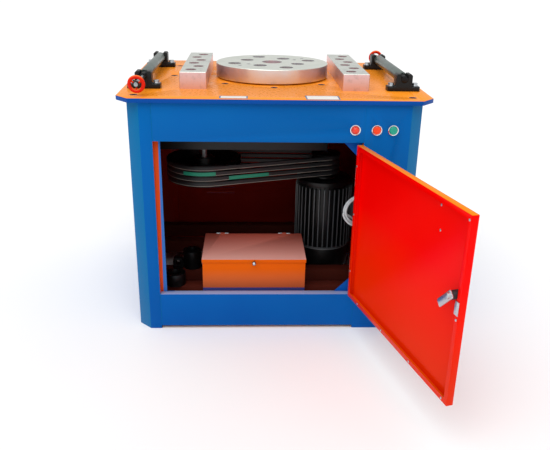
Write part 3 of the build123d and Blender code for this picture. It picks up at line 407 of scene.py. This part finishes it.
# ---- Motor ----
# Upright foot-mounted motor: finned cast frame, end shields, pressed fan cover, terminal box, all black, with
# grey painted highlights on the fin tips and the fan cover rims.
motor_casting, tree, shader, place = new_material("motor_black_enamel", Specular_IOR_Level=0.4)
rotor_low, rotor_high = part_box("motor_rotor")
axis = ((rotor_low.x + rotor_high.x) / 2, (rotor_low.y + rotor_high.y) / 2, 0)
centred = add(tree, "VectorMath", {0: place, 1: axis}, operation="SUBTRACT").outputs[0]
from_axis = add(tree, "VectorMath", {0: centred, 1: (1, 1, 0)}, operation="MULTIPLY").outputs[0]
reach = add(tree, "VectorMath", {0: from_axis}, operation="LENGTH").outputs["Value"]
# Fin tips and two rims of the fan cover are grey: painted highlights on the black enamel.
motor_painted_highlights = add(tree, "MapRange", {"Value": reach, "From Min": 0.0945, "From Max": 0.0968}).outputs["Result"]
height = add(tree, "SeparateXYZ", {0: place}).outputs[2]
fan_low, fan_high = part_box("motor_fan_cover")
for edge_z in (fan_low.z + 3 * MM, fan_high.z - 2 * MM):
    ring = add(tree, "Math", {0: height, 1: edge_z, 2: 2 * MM}, operation="COMPARE").outputs[0]
    motor_painted_highlights = add(tree, "Math", {0: motor_painted_highlights, 1: ring}, operation="MAXIMUM").outputs[0]
cloud = grain(tree, place, 30, 4)
body = mixed(tree, cloud, srgb("#040405"), srgb("#0C0D0E"))
tree.links.new(mixed(tree, times(tree, motor_painted_highlights, 0.8), body, srgb("#6E7276")), shader.inputs["Base Color"])
tree.links.new(between(tree, cloud, 0.3, 0.5), shader.inputs["Roughness"])
bump(tree, shader, grain(tree, place, 4, 3), 0.15)
for node, edge in (("motor_frame", 0.5), ("motor_end_shields", 1.5), ("motor_fan_cover", 0.8),
                   ("terminal_box", 0.0), ("motor_mount", 0.8)):
    paint(finished_copy(node, edge), motor_casting)
black_plastic = moulded("black_moulded_plastic", "#1C1D1F", "#0E0F10", 1.0, 0.45, 0.05)
paint(frame["nodes"]["motor_fan"], black_plastic)

# ---- Door ----
# A sheet pan with returned edges on two butt hinges, red gloss enamel running to orange low down, with its
# up-facing edges orange as a painted highlight, pan-head screws round its lip and a cam lock near the free
# edge.
def faces_up(tree, place):
    """1 on surfaces that look up, which carry the accent colour: a painted highlight on the door and the
    handwheels, the orange top paint on the table.
    """
    normal = add(tree, "NewGeometry").outputs["True Normal"]
    height = add(tree, "SeparateXYZ", {0: normal}).outputs[2]
    return add(tree, "MapRange", {"Value": height, "From Min": 0.3, "From Max": 0.8}).outputs["Result"]


# The door's up-facing edges take the orange accent: a painted highlight.
door_enamel = enamel("red_door_enamel", "#FF0200", "#F60200", accent="#F88A08", accent_mask=faces_up)
tree = door_enamel.node_tree
shader = tree.nodes["Principled BSDF"]
# The door runs to orange towards the bottom.
height = add(tree, "SeparateXYZ", {0: add(tree, "TexCoord").outputs["Object"]}).outputs[2]
lower = add(tree, "MapRange", {"Value": height, "From Min": 0.42, "From Max": 0.16}).outputs["Result"]
enamel_with_highlight = shader.inputs["Base Color"].links[0].from_socket
tree.links.new(mixed(tree, times(tree, lower, 0.75), enamel_with_highlight, srgb("#DC3200")), shader.inputs["Base Color"])
door_pan = finished_copy("door_panel", 0.5)
paint(door_pan, door_enamel)
for node in ("door_hinge_leaves", "post_hinge_leaves", "door_lock_plate", "door_lock_tongue"):
    paint(finished_copy(node, 0.3), zinc)
paint(finished_copy("door_lock_body", 0.5), black_plastic)

swing = next(j for j in frame["joints"] if j["name"] == "door_swing")
hinge = Vector(swing["pos_m"])
open_turn = Matrix.Translation(hinge) @ Matrix.Rotation(radians(-swing["range_deg"][0]), 4, "Z") \
    @ Matrix.Translation(-hinge)
closed_x, closed_z = (-0.337, 0.243), (0.120, 0.586)
lip_back, lip_half, skin_back = -0.345, 7 * MM, -0.3605
screw_spots = [(closed_x[1] - lip_half, z, lip_back) for z in (0.204, 0.384, 0.527)]
screw_spots += [(closed_x[0] + lip_half, z, lip_back) for z in (0.341, 0.574)]
screw_spots += [(x, closed_z[0] + lip_half, lip_back) for x in (0.170, 0.009, -0.153, -0.313)]
screw_spots += [(-0.194, 0.559, skin_back), (-0.202, 0.501, skin_back)]
bpy.ops.mesh.primitive_cylinder_add(vertices=16, radius=3.2 * MM, depth=1.6 * MM)
screw = bpy.context.object
bpy.ops.object.mode_set(mode="EDIT")
bpy.ops.mesh.select_all(action="SELECT")
bpy.ops.mesh.bevel(offset=0.6 * MM, segments=2, affect="EDGES")
bpy.ops.object.mode_set(mode="OBJECT")
bpy.ops.object.shade_smooth()
screw_mesh = screw.data.copy()
bpy.data.objects.remove(screw)
for number, (x, z, y) in enumerate(screw_spots):
    head = bpy.data.objects.new(f"door_screw_{number + 1}", screw_mesh.copy())
    bpy.context.scene.collection.objects.link(head)
    head.data.transform(open_turn @ Matrix.Translation((x, y + 0.8 * MM, z))
                        @ Matrix.Rotation(pi / 2, 4, "X"))
    paint(head, zinc)
    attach(head, "door")

# ---- Table plate ----
# 12 mm steel plate with clipped corners: orange enamel on top, blue enamel round the edge, black flush
# socket screws, and two blank vinyl strips by the front edge.
table_enamel = enamel("table_enamel_blue_edge", "#064EA2", "#054494", roughness=0.24, accent="#FF9824",
                      accent_mask=faces_up)
table = finished_copy("table_plate", 1.2)
paint(table, table_enamel)
paint(finished_copy("table_screws", 0.4), blackened)
table_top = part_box("table_plate")[1].z
LABELS = ((-0.117, -0.343, 0.078, 0.036), (0.128, -0.338, 0.094, 0.056))
label_vinyl, tree, shader, place = new_material("blank_vinyl_label", Roughness=0.3)
axes = add(tree, "SeparateXYZ", {0: place}).outputs
border = 0.0
for x, y, width, depth in LABELS:
    inside_x = add(tree, "Math", {0: axes[0], 1: x, 2: width / 2 - 4 * MM}, operation="COMPARE").outputs[0]
    inside_y = add(tree, "Math", {0: axes[1], 1: y, 2: depth / 2 - 4 * MM}, operation="COMPARE").outputs[0]
    inner = times(tree, inside_x, inside_y)
    border = add(tree, "Math", {0: border, 1: inner}, operation="MAXIMUM").outputs[0]
haze = mixed(tree, grain(tree, place, 12, 3), srgb("#E9E4DC"), srgb("#FAF8F4"))
tree.links.new(mixed(tree, border, srgb("#3C6496"), haze), shader.inputs["Base Color"])
for number, (x, y, width, depth) in enumerate(LABELS):
    bpy.ops.mesh.primitive_cube_add(size=1)
    strip = bpy.context.object
    strip.name = f"table_label_{number + 1}"
    strip.data.transform(Matrix.Translation((x, y, table_top + 0.2 * MM))
                         @ Matrix.Diagonal((width, depth, 0.4 * MM, 1)))
    bpy.ops.object.mode_set(mode="EDIT")
    bpy.ops.mesh.select_all(action="SELECT")
    bpy.ops.mesh.bevel(offset=0.15 * MM, segments=1, affect="EDGES")
    bpy.ops.object.mode_set(mode="OBJECT")
    strip.select_set(False)
    paint(strip, label_vinyl)
    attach(strip, "machine")

# ---- Working disc and hole blocks ----
# Thick steel disc, turned on its face and rim, bored with pin holes; ground steel blocks with
# staggered holes lie on each side.  Fine lines are drawn 1.5 mm apart, coarser than real, so they show.
disc_steel, disc_tree, disc_shader, disc_place = new_material("turned_steel", Metallic=1.0)
disc_low, disc_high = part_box("working_disc")
disc_middle = (0, -(disc_low.y + disc_high.y) / 2, 0)
on_disc = add(disc_tree, "Mapping", {"Vector": disc_place, "Location": disc_middle})
rings = add(disc_tree, "TexWave", {"Vector": on_disc.outputs[0], "Scale": 1 / (9.6 * MM), "Distortion": 0.6,
                                   "Detail": 2.0}, wave_type="RINGS", rings_direction="Z").outputs["Fac"]
clouds = grain(disc_tree, disc_place, 60, 4)
# The rim and hole walls are greyer and pinker than the paler top face: a painted reflection of the orange
# table on the sides.
disc_normal = add(disc_tree, "NewGeometry").outputs["True Normal"]
disc_up = add(disc_tree, "SeparateXYZ", {0: disc_normal}).outputs[2]
disc_colour = mixed(disc_tree, compare(disc_tree, "GREATER_THAN", disc_up, 0.5),
                    mixed(disc_tree, clouds, srgb("#D6D4D8"), srgb("#EAEAEE")),
                    mixed(disc_tree, clouds, srgb("#DCE2D8"), srgb("#F6F8F0")))
disc_tree.links.new(disc_colour, disc_shader.inputs["Base Color"])
disc_tree.links.new(between(disc_tree, rings, 0.3, 0.46), disc_shader.inputs["Roughness"])
bump(disc_tree, disc_shader, rings, 0.04, 0.6)
paint(finished_copy("working_disc", 0.0), disc_steel)
flange_enamel = enamel("red_oxide_flange", "#FF3A08", "#FF2A04", roughness=0.4)
paint(finished_copy("main_shaft", 0.0), flange_enamel)
# The block sides take a pink side colour: a painted reflection of the orange table.
ground_steel = steel("ground_block_steel", "#F0F2EC", "#D2D8D0", 0.36, 1.5, stretch=(1, 0.08, 1),
                     stain_share=0.25, side="#E6CCD0")
for side in ("left", "right"):
    paint(finished_copy(side + "_hole_block", 0.0), ground_steel)

# ---- Side rollers ----
# Drawn steel tube turning on a shaft that drops into two black cast brackets, bolted to the table.
# A small red handwheel on a screw clamps one end of each shaft.
tube_steel = steel("drawn_tube_steel", "#8E9A95", "#66716D", 0.34, 1.5, stretch=(1, 0.05, 1), stain_share=0.3)
bright_steel = steel("turned_shaft_steel", "#B9BDBE", "#8F9496", 0.3, 1.5)
# Up-facing surfaces of the handwheels are orange: a painted highlight.
wheel_enamel = enamel("red_handwheel_enamel", "#F02A12", "#C8180A", accent="#FF7A3A", accent_mask=faces_up)
for side in ("left", "right"):
    paint(finished_copy(side + "_roller", 1.0), tube_steel)
    for end in ("front", "rear"):
        paint(finished_copy(f"{side}_{end}_bracket", 1.2), black_casting)
paint(finished_copy("roller_shafts", 0.8), blackened)
paint(finished_copy("bracket_bolts", 0.5), zinc)

RIM_R, RIM_TUBE, HUB_R = 19 * MM, 5 * MM, 8.5 * MM
axle_x, axle_z = 0.377, 0.743
for side, sign in (("left", -1), ("right", 1)):
    low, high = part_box(side + "_handwheel")
    face_y = -0.352 if sign < 0 else 0.262
    bpy.ops.mesh.primitive_torus_add(major_radius=RIM_R, minor_radius=RIM_TUBE,
                                     major_segments=56, minor_segments=16)
    rim = bpy.context.object
    rim.name = side + "_wheel_rim"
    for spoke in range(3):
        bpy.ops.mesh.primitive_cylinder_add(vertices=14, radius=2.6 * MM, depth=RIM_R - 4 * MM)
        arm = bpy.context.object
        arm.data.transform(Matrix.Rotation(2 * pi * spoke / 3 + pi / 6, 4, "Z")
                           @ Matrix.Translation((RIM_R / 2 + 2 * MM, 0, 0)) @ Matrix.Rotation(pi / 2, 4, "Y"))
        rim.select_set(True)
        bpy.context.view_layer.objects.active = rim
        bpy.ops.object.join()
    rim.data.transform(Matrix.Translation((sign * axle_x, face_y, axle_z)) @ Matrix.Rotation(pi / 2, 4, "X"))
    bpy.ops.object.shade_smooth_by_angle(angle=radians(40))
    rim.select_set(False)
    paint(rim, wheel_enamel)
    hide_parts(side + "_handwheel")
    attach(rim, side + "_wheel")
    for part, radius, start, stop, finish in (
            ("hub", HUB_R, face_y - 7 * MM, face_y + 7 * MM, black_casting),
            ("spindle", 5.9 * MM, low.y, high.y, bright_steel)):
        bpy.ops.mesh.primitive_cylinder_add(vertices=32, radius=radius, depth=stop - start)
        turned = bpy.context.object
        turned.name = f"{side}_wheel_{part}"
        turned.data.transform(Matrix.Translation((sign * axle_x, (start + stop) / 2, axle_z))
                              @ Matrix.Rotation(pi / 2, 4, "X"))
        rounding = turned.modifiers.new("edges", "BEVEL")
        rounding.width = 1.2 * MM
        rounding.segments = 3
        rounding.limit_method = "ANGLE"
        bpy.ops.object.modifier_apply(modifier="edges")
        bpy.ops.object.shade_smooth_by_angle(angle=radians(35))
        turned.select_set(False)
        paint(turned, finish)
        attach(turned, side + "_wheel")

# ---- Controls ----
# A red domed lamp on the header, and red and green push buttons on the right post, in chromed rings,
# with a black plastic station behind them.
chrome = steel("chromed_ring", "#F2F4F5", "#D8DCDF", 0.12, 3.0)
paint(finished_copy("control_bezels", 0.8), chrome)
red_plastic = moulded("red_button_plastic", "#FF4A0A", "#F03A06", 1.0, 0.25, 0.01)
green_plastic = moulded("green_button_plastic", "#08AC90", "#069A80", 1.0, 0.25, 0.01)
lamp_plastic = moulded("red_lamp_lens", "#F0442A", "#E03420", 1.0, 0.12, 0.01)
for node, finish in (("red_button", red_plastic), ("green_button", green_plastic),
                     ("indicator_lamp", lamp_plastic), ("control_station", black_plastic)):
    paint(finished_copy(node, 0.0), finish)

# ---- Floor and light ----
# A plain pale studio floor, a bright even sky, and one broad soft lamp from the front left and above.
bpy.ops.mesh.primitive_plane_add(size=80)
floor = bpy.context.object
floor.name = "studio_floor"
floor_finish, floor_tree, floor_shader, floor_place = new_material("pale_studio_floor", Roughness=0.9,
                                                                   Specular_IOR_Level=0.1)
floor_tone = mixed(floor_tree, grain(floor_tree, floor_place, 900, 1), srgb("#F8F8F8"), srgb("#FEFEFE"))
floor_tree.links.new(floor_tone, floor_shader.inputs["Base Color"])
paint(floor, floor_finish)
sky = bpy.data.worlds.new("studio_sky")
bpy.context.scene.world = sky
sky.use_nodes = True
sky.node_tree.nodes["Background"].inputs["Color"].default_value = (1, 1, 1, 1)
sky.node_tree.nodes["Background"].inputs["Strength"].default_value = 0.72
bpy.ops.object.light_add(type="SUN", location=(-1, -2, 3))
sun = bpy.context.object
sun.name = "broad_soft_lamp"
sun.data.energy = 1.5
sun.data.angle = radians(60)
sun.rotation_euler = Vector((0.25, 0.55, -1.0)).to_track_quat("-Z", "Y").to_euler()
